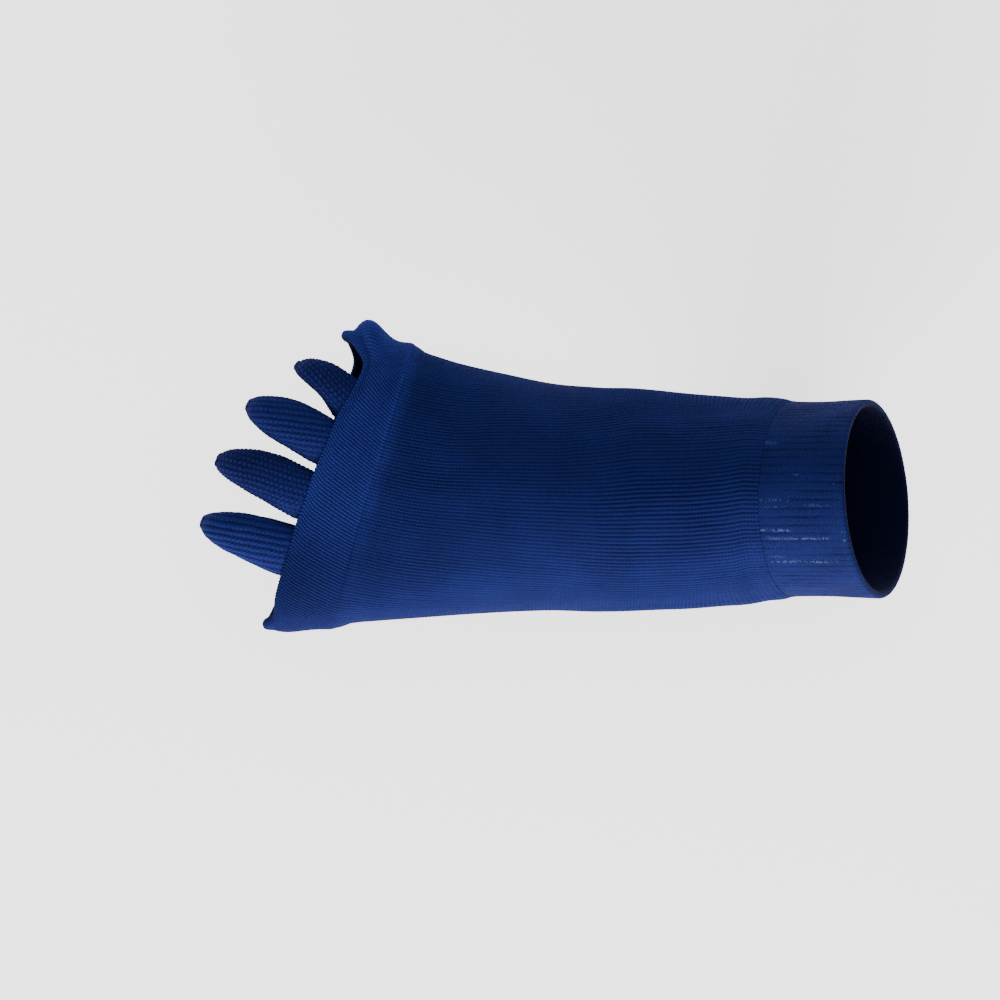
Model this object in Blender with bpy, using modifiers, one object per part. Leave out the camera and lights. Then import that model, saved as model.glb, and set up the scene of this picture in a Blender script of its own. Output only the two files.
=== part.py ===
"""An open toe-separating sock for the right foot, in the shape that it takes when it is worn.

The toes point to -X, the leg to +X, the little toe side is +Y and the top of the foot is +Z. The origin is the
middle of the foot's hollow at the instep. Lengths are in metres and angles in degrees.
"""

import math
from typing import NamedTuple

import bmesh
import bpy
import numpy as np
from mathutils import Vector

# Driving dimensions of the foot tube
FOOT_LENGTH = 0.1455
BALL_WIDTH = 0.0920
TOE_HEIGHT = 0.034
BALL_HEIGHT = 0.042
INSTEP_WIDTH = 0.0748
INSTEP_HEIGHT = 0.064
HEEL_DEPTH = 0.102
HEEL_WIDTH = 0.069
KNIT_WALL = 0.002
TOE_SLANT = 17.0

# Driving dimensions of the leg end
ANKLE_WIDTH = 0.0650
ANKLE_DEPTH = 0.0816
MOUTH_WIDTH = 0.0658
MOUTH_DEPTH = 0.082
CUFF_LENGTH = 0.0285
CUFF_WALL = 0.0024
LEG_LEAN = 21.5
MOUTH_SKEW = -3.5
CUFF_RIBS = 72
RIB_HEIGHT = 0.0005

# Driving dimensions of the toe band
BAND_LENGTH = 0.020
HEM_PROUD = 0.0030
HEM_ROLL = 0.0068

# Driving dimensions of the toe separators
SEPARATOR_LENGTH = 0.030
SEPARATOR_WIDTH = 0.0172
SEPARATOR_WAIST = 0.0040

# Clearance between neighbouring pieces
GAP = 0.0003

# Mesh steps: corners round the tube and the band, and rows between two sections of the tube
RING = 40
ROWS_PER_SECTION = 2
CUFF_ROWS = 4


class Section(NamedTuple):
    """A closed section of the foot.

    along: place of its top, a share of FOOT_LENGTH from the toe line
    fan: how far its sole lies behind its top, a share of the ankle seam's overhang
    top: height of its top over the origin, a share of INSTEP_HEIGHT
    depth, width: its size, a share of the named size given with it
    aside: its middle's place towards the little toe, a share of BALL_WIDTH
    slant: turn in plan, a share of TOE_SLANT
    belly: height of its widest place, a share of its depth
    ridge: how far the top leans to the big toe side, a share of half its width
    top_power, sole_power: squareness of its upper and lower half, 2 for an ellipse
    """

    along: float
    fan: float
    top: float
    depth: float
    width: float
    aside: float
    slant: float
    belly: float
    ridge: float
    top_power: float
    sole_power: float


def blend(first, second, share):
    return first + (second - first) * share


SEAM_DEPTH = ANKLE_DEPTH * math.cos(math.radians(LEG_LEAN))
SEAM_OVERHANG = ANKLE_DEPTH * math.sin(math.radians(LEG_LEAN))

FOOT_SECTIONS = (
    Section(-0.068, 0.00, 0.363, 0.88 * TOE_HEIGHT, 0.975 * BALL_WIDTH, 0.062, 1.00, 0.46, 0.16, 2.6, 2.7),
    Section(0.000, 0.00, 0.391, 1.00 * TOE_HEIGHT, 1.000 * BALL_WIDTH, 0.056, 1.00, 0.46, 0.16, 2.6, 2.8),
    Section(0.137, 0.00, 0.445, 1.00 * BALL_HEIGHT, 0.983 * BALL_WIDTH, 0.045, 0.95, 0.44, 0.15, 2.5, 2.8),
    Section(0.274, 0.00, 0.473, 1.14 * BALL_HEIGHT, 0.918 * BALL_WIDTH, 0.029, 0.70, 0.42, 0.14, 2.3, 2.7),
    Section(0.405, 0.00, 0.492, 0.867 * INSTEP_HEIGHT, 1.065 * INSTEP_WIDTH, 0.019, 0.41, 0.40, 0.12, 2.2, 2.5),
    Section(0.539, 0.00, 0.500, 0.985 * INSTEP_HEIGHT, 1.010 * INSTEP_WIDTH, 0.007, 0.15, 0.40, 0.10, 2.1, 2.4),
    Section(0.651, 0.00, 0.500, 1.10 * INSTEP_HEIGHT, 1.000 * INSTEP_WIDTH, -0.002, 0.00, 0.42, 0.08, 2.1, 2.3),
    Section(0.740, 0.00, 0.492, 0.76 * HEEL_DEPTH, 0.991 * INSTEP_WIDTH, -0.002, 0.00, 0.46, 0.06, 2.1, 2.2),
    Section(0.847, 0.06, 0.485, 0.862 * HEEL_DEPTH, 1.045 * HEEL_WIDTH, -0.008, 0.00, 0.50, 0.04, 2.1, 2.1),
    Section(0.907, 0.38, 0.485, 0.956 * HEEL_DEPTH, 1.018 * HEEL_WIDTH, -0.008, 0.00, 0.54, 0.02, 2.1, 2.0),
    Section(0.940, 0.69, 0.492, 1.005 * HEEL_DEPTH, 1.000 * HEEL_WIDTH, -0.008, 0.00, 0.57, 0.00, 2.1, 2.0),
    Section(0.967, 0.88, 0.505, 0.978 * HEEL_DEPTH, 0.985 * HEEL_WIDTH, 0.0, 0.00, 0.57, 0.00, 2.0, 2.0),
    Section(0.985, 0.985, 0.515, 0.5 * (HEEL_DEPTH + SEAM_DEPTH), 0.97 * HEEL_WIDTH, 0.0, 0.00, 0.54, 0.00, 2.0, 2.0),
    Section(1.000, 1.00, 0.523, 1.00 * SEAM_DEPTH, 1.00 * ANKLE_WIDTH, 0.0, 0.00, 0.50, 0.00, 2.0, 2.0),
)
TOE_LINE_SECTION = 1
SEAM_SECTION = len(FOOT_SECTIONS) - 1
ORIGIN_ALONG = 0.5616


class CuffSection(NamedTuple):
    """A section square to the leg.

    along: its place, a share of CUFF_LENGTH from the seam
    width, depth: its size, a share of the named size given with it
    askew: its turn in plan, a share of MOUTH_SKEW
    """

    along: float
    width: float
    depth: float
    askew: float


CUFF_SECTIONS = (
    CuffSection(0.40, 0.993 * ANKLE_WIDTH, 0.985 * ANKLE_DEPTH, 0.2),
    CuffSection(0.75, 0.993 * MOUTH_WIDTH, 0.985 * MOUTH_DEPTH, 0.7),
    CuffSection(1.00, 1.000 * MOUTH_WIDTH, 1.000 * MOUTH_DEPTH, 1.0),
)


def cuff_section(place):
    """The same row as FOOT_SECTIONS holds, for a section of the cuff."""
    seam = FOOT_SECTIONS[SEAM_SECTION]
    lean = math.radians(LEG_LEAN)
    run = place.along * CUFF_LENGTH
    spread = (place.depth - ANKLE_DEPTH) / 2
    top_x = seam.along * FOOT_LENGTH + run * math.cos(lean) - spread * math.sin(lean)
    top_z = seam.top * INSTEP_HEIGHT + run * math.sin(lean) + spread * math.cos(lean)
    return seam._replace(
        along=top_x / FOOT_LENGTH,
        fan=place.depth / ANKLE_DEPTH,
        top=top_z / INSTEP_HEIGHT,
        depth=place.depth * math.cos(lean),
        width=place.width,
        slant=place.askew * MOUTH_SKEW / TOE_SLANT,
    )


SECTIONS = np.array(FOOT_SECTIONS + tuple(cuff_section(place) for place in CUFF_SECTIONS))
MOUTH_SECTION = len(SECTIONS) - 1


class BandRow(NamedTuple):
    """The toe band at one place round the foot.

    turn: degrees from the little toe side, over the top, to the big toe side and back under the sole
    forward: how far its lip reaches past the slanted toe line, a share of BAND_LENGTH
    proud: how far it stands over the knit, a share of HEM_PROUD
    roll: how far its middle bulges outwards, a share of HEM_ROLL
    """

    turn: float
    forward: float
    proud: float
    roll: float


BAND_ROWS = (
    BandRow(0, 0.20, 0.50, 1.00),
    BandRow(15, -0.02, 0.50, 0.95),
    BandRow(32, -0.30, 0.45, 0.40),
    BandRow(60, -0.12, 0.42, 0.00),
    BandRow(90, 0.00, 0.36, 0.00),
    BandRow(125, 0.00, 0.24, 0.00),
    BandRow(150, -0.12, 0.34, 0.00),
    BandRow(166, -0.12, 0.50, 0.08),
    BandRow(180, 0.07, 0.60, 0.15),
    BandRow(200, 0.05, 0.55, 0.10),
    BandRow(235, 0.00, 0.36, 0.00),
    BandRow(300, 0.00, 0.36, 0.00),
    BandRow(325, -0.06, 0.45, 0.25),
    BandRow(345, 0.10, 0.50, 0.90),
    BandRow(360, 0.20, 0.50, 1.00),
)


class HemPoint(NamedTuple):
    """A corner of the band's own section.

    along: place from the band's back edge, 0, to its lip, 1
    ahead: place past that, a share of the hem's thickness there
    wall: place through the knit wall, 0 inside and 1 outside
    proud: share of the proud height
    """

    along: float
    ahead: float
    wall: float
    proud: float


HEM_PROFILE = (
    HemPoint(0.00, 0.00, 0.0, 0.0),
    HemPoint(0.30, 0.00, 0.0, 0.0),
    HemPoint(0.55, 0.00, 0.0, 0.0),
    HemPoint(0.80, 0.00, 0.0, 0.0),
    HemPoint(1.00, -0.40, 0.0, 0.0),
    HemPoint(1.00, -0.10, 0.2, 0.1),
    HemPoint(1.00, 0.00, 0.6, 0.4),
    HemPoint(1.00, -0.12, 0.9, 0.8),
    HemPoint(1.00, -0.42, 1.0, 1.0),
    HemPoint(0.78, 0.00, 1.0, 1.0),
    HemPoint(0.56, 0.00, 1.0, 1.0),
    HemPoint(0.34, 0.00, 1.0, 1.0),
    HemPoint(0.15, 0.00, 1.0, 0.9),
    HemPoint(0.03, 0.00, 1.0, 0.6),
    HemPoint(0.00, 0.00, 1.0, 0.2),
)
HEM_NOSE = HEM_PROFILE[6]
HEM_CREST = HEM_PROFILE[8]

# The roll's peak lies nearer the lip than the back edge, and the lip keeps part of it
ROLL_SKEW = 1.6
ROLL_END = 0.85


class Separator(NamedTuple):
    """A wedge between two toes.

    place: middle of its root, a share of half BALL_WIDTH from the toe line's middle to the little toe side
    width, length: shares of SEPARATOR_WIDTH and SEPARATOR_LENGTH
    heading: degrees from straight ahead to the little toe side
    little, big: fullness of its two sides towards the tip, 1 for the plain wedge
    """

    place: float
    width: float
    length: float
    heading: float
    little: float
    big: float


SEPARATORS = (
    Separator(-0.487, 1.00, 1.00, 18.9, 0.90, 1.05),
    Separator(-0.089, 1.01, 1.05, 21.6, 1.08, 0.92),
    Separator(0.287, 0.97, 0.96, 25.5, 1.05, 1.02),
    Separator(0.611, 0.88, 0.67, 30.8, 0.96, 0.55),
)


class WedgeRow(NamedTuple):
    """A section of a wedge.

    along: its place, a share of the wedge's length
    little, big: its half width towards the little toe and the big toe, a share of the wedge's width
    height: a share of the root's height
    waist: 0 for the root's pinched waist and 1 for none
    """

    along: float
    little: float
    big: float
    height: float
    waist: float


WEDGE_ROWS = (
    WedgeRow(0.00, 0.55, 0.55, 1.00, 0.00),
    WedgeRow(0.20, 0.56, 0.52, 0.99, 0.06),
    WedgeRow(0.42, 0.56, 0.46, 0.93, 0.16),
    WedgeRow(0.64, 0.50, 0.41, 0.82, 0.32),
    WedgeRow(0.83, 0.36, 0.32, 0.68, 0.55),
    WedgeRow(0.95, 0.24, 0.22, 0.50, 0.80),
    WedgeRow(1.00, 0.13, 0.12, 0.30, 1.00),
)

# Half of a wedge's section, from its top to its sole: across, where 1 is its side, up, where 1 is its top, and how
# far the corner is pinched in to the waist
WEDGE_SIDE = (
    (0.72, 0.95, 0.00),
    (1.00, 0.66, 0.00),
    (1.00, 0.32, 0.75),
    (1.00, 0.00, 1.00),
    (1.00, -0.32, 0.75),
    (1.00, -0.66, 0.00),
    (0.72, -0.95, 0.00),
)
WEDGE_RING = (
    ((0.0, 1.0, 0.0),)
    + WEDGE_SIDE
    + ((0.0, -1.0, 0.0),)
    + tuple((-across, up, pinch) for across, up, pinch in reversed(WEDGE_SIDE))
)


def smooth_row(rows, place):
    """The row at a place between those of a table, on a smooth curve through them. A whole place is a row itself."""
    last = len(rows) - 1
    start = int(min(max(math.floor(place), 0), last - 1))
    share = place - start
    here, there = rows[start], rows[start + 1]
    before = rows[start - 1] if start > 0 else 2 * here - there
    after = rows[start + 2] if start + 2 <= last else 2 * there - here
    slope_here = (there - before) / 2
    slope_there = (after - here) / 2
    square, cube = share**2, share**3
    return (
        here * (2 * cube - 3 * square + 1)
        + slope_here * (cube - 2 * square + share)
        + there * (3 * square - 2 * cube)
        + slope_there * (cube - square)
    )


def station(distance):
    """The place in SECTIONS whose top lies this far behind the toe line."""
    low, high = 0.0, float(MOUTH_SECTION)
    for _ in range(40):
        middle = (low + high) / 2
        if smooth_row(SECTIONS, middle)[0] * FOOT_LENGTH < distance:
            low = middle
        else:
            high = middle
    return low


def skin(place, turn):
    """A point of the outer surface: place in SECTIONS, and turn in radians from the little toe side over the top."""
    section = Section(*smooth_row(SECTIONS, place))
    top = Vector(((section.along - ORIGIN_ALONG) * FOOT_LENGTH, 0, section.top * INSTEP_HEIGHT))
    sole = top + Vector((section.fan * SEAM_OVERHANG, 0, -section.depth))
    middle = sole.lerp(top, section.belly)
    upper = math.sin(turn) >= 0
    power = 2 / (section.top_power if upper else section.sole_power)
    across = math.copysign(abs(math.cos(turn)) ** power, math.cos(turn)) * section.width / 2
    up = abs(math.sin(turn)) ** power
    point = middle + (top - middle if upper else sole - middle) * up
    if upper:
        across -= section.ridge * section.width / 2 * up**2
    slant = math.radians(section.slant * TOE_SLANT)
    return point + Vector((across * math.tan(slant), across + section.aside * BALL_WIDTH, 0))


def skin_normal(place, turn):
    """The direction straight out of the surface."""
    step = 0.01
    along = skin(place + step, turn) - skin(place - step, turn)
    around = skin(place, turn + step) - skin(place, turn - step)
    return around.cross(along).normalized()


def band_row(turn):
    """The band's row at a turn in radians, on a smooth curve through BAND_ROWS."""
    degrees = math.degrees(turn) % 360
    turns = [row.turn for row in BAND_ROWS]
    place = float(np.interp(degrees, turns, range(len(turns))))
    ring = np.array(BAND_ROWS[-2:-1] + BAND_ROWS + BAND_ROWS[1:2])
    return BandRow(*smooth_row(ring, place + 1))


def hem_point(turn, corner):
    """A point of the toe band at a turn, for a corner of its own section."""
    row = band_row(turn)
    proud = row.proud * HEM_PROUD
    reach = BAND_LENGTH * (1 + row.forward)
    behind = BAND_LENGTH - reach * corner.along - corner.ahead * (KNIT_WALL + proud)
    place = station(behind)
    bulge = row.roll * HEM_ROLL * math.sin(math.pi * min(corner.along, ROLL_END) ** ROLL_SKEW) ** 2
    out = (corner.wall - 1) * KNIT_WALL + corner.proud * proud + bulge
    return skin(place, turn) + skin_normal(place, turn) * out


def ring_turns(count):
    return [2 * math.pi * index / count for index in range(count)]


def new_object(name, mesh, material, parent):
    mesh.shade_smooth()
    mesh.materials.append(material)
    obj = bpy.data.objects.new(name, mesh)
    parent.users_collection[0].objects.link(obj)
    obj.parent = parent
    return obj


def loft(name, rings, closed_along=False, caps=False):
    """A mesh through rings of equally many points. It is closed along its length, capped, or open at both ends."""
    build = bmesh.new()
    rows = [[build.verts.new(point) for point in ring] for ring in rings]
    pairs = list(zip(rows, rows[1:]))
    if closed_along:
        pairs.append((rows[-1], rows[0]))
    for here, there in pairs:
        for index in range(len(here)):
            following = (index + 1) % len(here)
            build.faces.new((here[index], here[following], there[following], there[index]))
    if caps:
        build.faces.new(list(reversed(rows[0])))
        build.faces.new(rows[-1])
    mesh = bpy.data.meshes.new(name)
    build.to_mesh(mesh)
    build.free()
    return mesh


def face_out(mesh):
    """Turns the faces of a closed mesh outwards."""
    build = bmesh.new()
    build.from_mesh(mesh)
    bmesh.ops.recalc_face_normals(build, faces=build.faces)
    build.to_mesh(mesh)
    build.free()


def add_wall(obj, thickness):
    """Gives an open surface its wall, on its inner side."""
    wall = obj.modifiers.new("Wall", "SOLIDIFY")
    wall.thickness = thickness
    wall.offset = -1
    wall.use_even_offset = True


def add_material(name, colour, roughness):
    material = bpy.data.materials.new(name)
    material.use_nodes = True
    shader = material.node_tree.nodes["Principled BSDF"]
    shader.inputs["Base Color"].default_value = (*colour, 1)
    shader.inputs["Roughness"].default_value = roughness
    shader.inputs["Metallic"].default_value = 0
    return material


def add_foot_tube(parent):
    """The knitted body, from behind the toe band to the ankle seam."""
    first = station(BAND_LENGTH + GAP)
    seam_gap = GAP / (CUFF_SECTIONS[0].along * CUFF_LENGTH)
    last = SEAM_SECTION - seam_gap
    count = ROWS_PER_SECTION * (SEAM_SECTION - TOE_LINE_SECTION)
    places = [blend(first, last, index / count) for index in range(count + 1)]
    mesh = loft("foot_tube", [[skin(place, turn) for turn in ring_turns(RING)] for place in places])
    tube = new_object("foot_tube", mesh, add_material("Body knit", (0.010, 0.030, 0.120), 0.9), parent)
    add_wall(tube, KNIT_WALL)


def add_cuff(parent):
    """The ribbed cuff, from the ankle seam to the mouth."""
    places = [blend(SEAM_SECTION, MOUTH_SECTION, index / CUFF_ROWS) for index in range(CUFF_ROWS + 1)]
    turns = ring_turns(2 * CUFF_RIBS)
    rings = []
    for place in places:
        ring = []
        for index, turn in enumerate(turns):
            rib = RIB_HEIGHT * (index % 2)
            ring.append(skin(place, turn) + skin_normal(place, turn) * rib)
        rings.append(ring)
    cuff = new_object("cuff", loft("cuff", rings), add_material("Cuff knit", (0.016, 0.038, 0.140), 0.9), parent)
    add_wall(cuff, CUFF_WALL)


def add_toe_band(parent):
    """The doubled hem round the roots of the toes, with its rolled lip."""
    rings = [[hem_point(turn, corner) for turn in ring_turns(RING)] for corner in HEM_PROFILE]
    mesh = loft("toe_band", rings, closed_along=True)
    face_out(mesh)
    new_object("toe_band", mesh, add_material("Band knit", (0.012, 0.035, 0.140), 0.9), parent)


def lip_line(start, end):
    """The band's lip between two turns, as rows of place towards the little toe, place along, and height."""
    count = 24
    rows = []
    for index in range(count + 1):
        turn = math.radians(blend(start, end, index / count))
        nose = hem_point(turn, HEM_NOSE)
        rows.append((nose.y, nose.x, hem_point(turn, HEM_CREST).z))
    return np.array(sorted(rows))


def wedge_point(separator, row, corner, top_lip, sole_lip):
    """A corner of one section of a wedge. Its root follows the band's lip, on top and under the sole."""
    across, up, pinch = corner
    width = separator.width * SEPARATOR_WIDTH
    heading = math.radians(separator.heading)
    ahead = Vector((-math.cos(heading), math.sin(heading), 0))
    aside = Vector((math.sin(heading), math.cos(heading), 0))
    fullness = blend(1, separator.little if across > 0 else separator.big, min(2 * row.along, 1))
    half_width = (row.little if across > 0 else row.big) * fullness * width * abs(across)
    half_width = blend(half_width, SEPARATOR_WAIST / 2, pinch * (1 - row.waist))
    lateral = math.copysign(half_width, across)
    middle_y = (FOOT_SECTIONS[TOE_LINE_SECTION].aside + separator.place / 2) * BALL_WIDTH
    middle_x = np.interp(middle_y, top_lip[:, 0], top_lip[:, 1])
    root = Vector((middle_x, middle_y, 0)) + aside * lateral
    top_x, top_z = (np.interp(root.y, top_lip[:, 0], top_lip[:, column]) for column in (1, 2))
    sole_x, sole_z = (np.interp(root.y, sole_lip[:, 0], sole_lip[:, column]) for column in (1, 2))
    lip_x = blend(sole_x, top_x, (1 + up) / 2) - GAP
    point = root + ahead * (row.along * separator.length * SEPARATOR_LENGTH)
    point.x += (lip_x - root.x) * (1 - row.along) ** 2
    point.z = (top_z + sole_z) / 2 + up * row.height * (top_z - sole_z) / 2
    return point


def crease_root(mesh, corners):
    """Keeps the edge of a wedge's root sharp. The root's corners are the first ones of the mesh."""
    crease = mesh.attributes.new("crease_edge", "FLOAT", "EDGE")
    for edge in mesh.edges:
        crease.data[edge.index].value = 1.0 if max(edge.vertices) < corners else 0.0


def add_separator(number, separator, material, parent):
    """A padded wedge that springs from the band's lip and keeps two toes apart."""
    top_lip = lip_line(15, 165)
    sole_lip = lip_line(195, 345)
    rings = [
        [wedge_point(separator, row, corner, top_lip, sole_lip) for corner in WEDGE_RING] for row in WEDGE_ROWS
    ]
    mesh = loft(f"toe_separator_{number}", rings, caps=True)
    face_out(mesh)
    crease_root(mesh, len(WEDGE_RING))
    wedge = new_object(f"toe_separator_{number}", mesh, material, parent)
    soft = wedge.modifiers.new("Soft form", "SUBSURF")
    soft.levels = 1
    soft.render_levels = 1


def clear_scene():
    for obj in list(bpy.data.objects):
        bpy.data.objects.remove(obj, do_unlink=True)


def main():
    clear_scene()
    collection = bpy.data.collections.new("toe_sock")
    bpy.context.scene.collection.children.link(collection)
    seat = bpy.data.objects.new("foot_seat", None)
    collection.objects.link(seat)
    add_foot_tube(seat)
    add_cuff(seat)
    add_toe_band(seat)
    wedge_knit = add_material("Separator knit", (0.014, 0.042, 0.170), 0.9)
    for index, separator in enumerate(SEPARATORS):
        add_separator(index + 1, separator, wedge_knit, seat)


main()
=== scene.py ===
"""The looks of an open toe-separating sock in navy rib knit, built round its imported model.

Lengths are in metres. The toes point to -X, the leg to +X, the little toe side is +Y and the top of the foot is +Z.
"""

import math
from typing import NamedTuple

import bpy
import numpy as np
from bpy.props import FloatProperty, FloatVectorProperty, IntProperty, PointerProperty
from bpy.types import Operator, Panel, PropertyGroup
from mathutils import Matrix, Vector


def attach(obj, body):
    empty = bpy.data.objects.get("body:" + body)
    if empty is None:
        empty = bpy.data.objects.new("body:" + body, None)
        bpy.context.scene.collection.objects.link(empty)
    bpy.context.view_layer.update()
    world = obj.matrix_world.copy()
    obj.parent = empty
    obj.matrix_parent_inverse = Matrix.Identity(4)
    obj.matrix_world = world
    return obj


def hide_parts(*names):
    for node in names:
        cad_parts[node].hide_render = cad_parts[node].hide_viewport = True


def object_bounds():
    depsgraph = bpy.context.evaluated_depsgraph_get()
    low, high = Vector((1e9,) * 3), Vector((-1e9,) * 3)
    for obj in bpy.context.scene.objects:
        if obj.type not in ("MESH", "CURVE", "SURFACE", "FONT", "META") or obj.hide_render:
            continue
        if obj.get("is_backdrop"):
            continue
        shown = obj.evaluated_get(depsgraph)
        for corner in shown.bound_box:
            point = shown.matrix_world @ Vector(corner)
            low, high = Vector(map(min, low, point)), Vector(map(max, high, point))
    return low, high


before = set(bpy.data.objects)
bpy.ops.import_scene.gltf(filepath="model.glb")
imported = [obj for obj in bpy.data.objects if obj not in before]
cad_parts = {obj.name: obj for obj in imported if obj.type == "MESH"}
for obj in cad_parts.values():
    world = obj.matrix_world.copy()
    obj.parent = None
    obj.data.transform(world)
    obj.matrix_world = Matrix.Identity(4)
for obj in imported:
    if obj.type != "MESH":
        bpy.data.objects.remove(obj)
CAD_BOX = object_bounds()

bl_info = {
    "name": "Rib knit toe sock",
    "version": (1, 0, 0),
    "blender": (4, 5, 0),
    "location": "View3D > Sidebar > Toe sock",
    "description": "Knits an open toe-separating sock round its model and sets the studio for it",
    "category": "Add Mesh",
}

BODY = "root"
MM = 0.001

# The worn foot, as the model has it
FOOT_LENGTH = 0.1455
BALL_WIDTH = 0.0920
TOE_HEIGHT = 0.034
BALL_HEIGHT = 0.042
INSTEP_WIDTH = 0.0748
INSTEP_HEIGHT = 0.064
HEEL_DEPTH = 0.102
HEEL_WIDTH = 0.069
KNIT_WALL = 0.002
TOE_SLANT = 17.0
ORIGIN_ALONG = 0.5616

# The leg end
ANKLE_WIDTH = 0.0650
ANKLE_DEPTH = 0.0816
MOUTH_WIDTH = 0.0658
MOUTH_DEPTH = 0.082
CUFF_LENGTH = 0.0285
CUFF_WALL = 0.0024
LEG_LEAN = 21.5
MOUTH_SKEW = -3.5

# The toe band and the wedges between the toes
BAND_LENGTH = 0.020
HEM_PROUD = 0.0030
HEM_ROLL = 0.0068
SEPARATOR_LENGTH = 0.030
SEPARATOR_WIDTH = 0.0172
SEPARATOR_WAIST = 0.0040

# What is left open where two knitted pieces are joined
JOIN = 0.00006


class Section(NamedTuple):
    """A closed section of the foot, with its places and sizes as shares of the sizes above."""

    along: float
    fan: float
    top: float
    depth: float
    width: float
    aside: float
    slant: float
    belly: float
    ridge: float
    top_power: float
    sole_power: float


SEAM_DEPTH = ANKLE_DEPTH * math.cos(math.radians(LEG_LEAN))
SEAM_OVERHANG = ANKLE_DEPTH * math.sin(math.radians(LEG_LEAN))

FOOT_SECTIONS = (
    Section(-0.068, 0.00, 0.363, 0.88 * TOE_HEIGHT, 0.975 * BALL_WIDTH, 0.062, 1.00, 0.46, 0.16, 2.6, 2.7),
    Section(0.000, 0.00, 0.391, 1.00 * TOE_HEIGHT, 1.000 * BALL_WIDTH, 0.056, 1.00, 0.46, 0.16, 2.6, 2.8),
    Section(0.137, 0.00, 0.445, 1.00 * BALL_HEIGHT, 0.983 * BALL_WIDTH, 0.045, 0.95, 0.44, 0.15, 2.5, 2.8),
    Section(0.274, 0.00, 0.473, 1.14 * BALL_HEIGHT, 0.918 * BALL_WIDTH, 0.029, 0.70, 0.42, 0.14, 2.3, 2.7),
    Section(0.405, 0.00, 0.492, 0.867 * INSTEP_HEIGHT, 1.065 * INSTEP_WIDTH, 0.019, 0.41, 0.40, 0.12, 2.2, 2.5),
    Section(0.539, 0.00, 0.500, 0.985 * INSTEP_HEIGHT, 1.010 * INSTEP_WIDTH, 0.007, 0.15, 0.40, 0.10, 2.1, 2.4),
    Section(0.651, 0.00, 0.500, 1.10 * INSTEP_HEIGHT, 1.000 * INSTEP_WIDTH, -0.002, 0.00, 0.42, 0.08, 2.1, 2.3),
    Section(0.740, 0.00, 0.492, 0.76 * HEEL_DEPTH, 0.991 * INSTEP_WIDTH, -0.002, 0.00, 0.46, 0.06, 2.1, 2.2),
    Section(0.847, 0.06, 0.485, 0.862 * HEEL_DEPTH, 1.045 * HEEL_WIDTH, -0.008, 0.00, 0.50, 0.04, 2.1, 2.1),
    Section(0.907, 0.38, 0.485, 0.956 * HEEL_DEPTH, 1.018 * HEEL_WIDTH, -0.008, 0.00, 0.54, 0.02, 2.1, 2.0),
    Section(0.940, 0.69, 0.492, 1.005 * HEEL_DEPTH, 1.000 * HEEL_WIDTH, -0.008, 0.00, 0.57, 0.00, 2.1, 2.0),
    Section(0.967, 0.88, 0.505, 0.978 * HEEL_DEPTH, 0.985 * HEEL_WIDTH, 0.0, 0.00, 0.57, 0.00, 2.0, 2.0),
    Section(0.985, 0.985, 0.515, 0.5 * (HEEL_DEPTH + SEAM_DEPTH), 0.97 * HEEL_WIDTH, 0.0, 0.00, 0.54, 0.00, 2.0, 2.0),
    Section(1.000, 1.00, 0.523, 1.00 * SEAM_DEPTH, 1.00 * ANKLE_WIDTH, 0.0, 0.00, 0.50, 0.00, 2.0, 2.0),
)
SEAM_SECTION = len(FOOT_SECTIONS) - 1
TOE_LINE = FOOT_SECTIONS[1]


class CuffSection(NamedTuple):
    """A section square to the leg: its place from the seam, its size, and its turn in plan, as shares."""

    along: float
    width: float
    depth: float
    askew: float


CUFF_SECTIONS = (
    CuffSection(0.40, 0.993 * ANKLE_WIDTH, 0.985 * ANKLE_DEPTH, 0.2),
    CuffSection(0.75, 0.993 * MOUTH_WIDTH, 0.985 * MOUTH_DEPTH, 0.7),
    CuffSection(1.00, 1.000 * MOUTH_WIDTH, 1.000 * MOUTH_DEPTH, 1.0),
)


def cuff_section(place):
    """The same row as FOOT_SECTIONS holds, for a section of the cuff."""
    seam = FOOT_SECTIONS[SEAM_SECTION]
    lean = math.radians(LEG_LEAN)
    run = place.along * CUFF_LENGTH
    spread = (place.depth - ANKLE_DEPTH) / 2
    top_x = seam.along * FOOT_LENGTH + run * math.cos(lean) - spread * math.sin(lean)
    top_z = seam.top * INSTEP_HEIGHT + run * math.sin(lean) + spread * math.cos(lean)
    return seam._replace(
        along=top_x / FOOT_LENGTH,
        fan=place.depth / ANKLE_DEPTH,
        top=top_z / INSTEP_HEIGHT,
        depth=place.depth * math.cos(lean),
        width=place.width,
        slant=place.askew * MOUTH_SKEW / TOE_SLANT,
    )


SECTIONS = np.array(FOOT_SECTIONS + tuple(cuff_section(place) for place in CUFF_SECTIONS))
MOUTH_SECTION = len(SECTIONS) - 1


class BandRow(NamedTuple):
    """The toe band at one turn round the foot, in degrees from the little toe side over the top."""

    turn: float
    forward: float
    proud: float
    roll: float


BAND_ROWS = (
    BandRow(0, 0.20, 0.50, 1.00),
    BandRow(15, -0.02, 0.50, 0.95),
    BandRow(32, -0.30, 0.45, 0.40),
    BandRow(60, -0.12, 0.42, 0.00),
    BandRow(90, 0.00, 0.36, 0.00),
    BandRow(125, 0.00, 0.24, 0.00),
    BandRow(150, -0.06, 0.34, 0.00),
    BandRow(166, 0.07, 0.50, 0.08),
    BandRow(180, 0.09, 0.60, 0.15),
    BandRow(200, 0.05, 0.55, 0.10),
    BandRow(235, 0.00, 0.36, 0.00),
    BandRow(300, 0.00, 0.36, 0.00),
    BandRow(325, -0.06, 0.45, 0.25),
    BandRow(345, 0.10, 0.50, 0.90),
    BandRow(360, 0.20, 0.50, 1.00),
)


class HemPoint(NamedTuple):
    """A corner of the band's own section: place to the lip, past it, through the wall, and over the knit."""

    along: float
    ahead: float
    wall: float
    proud: float


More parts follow.
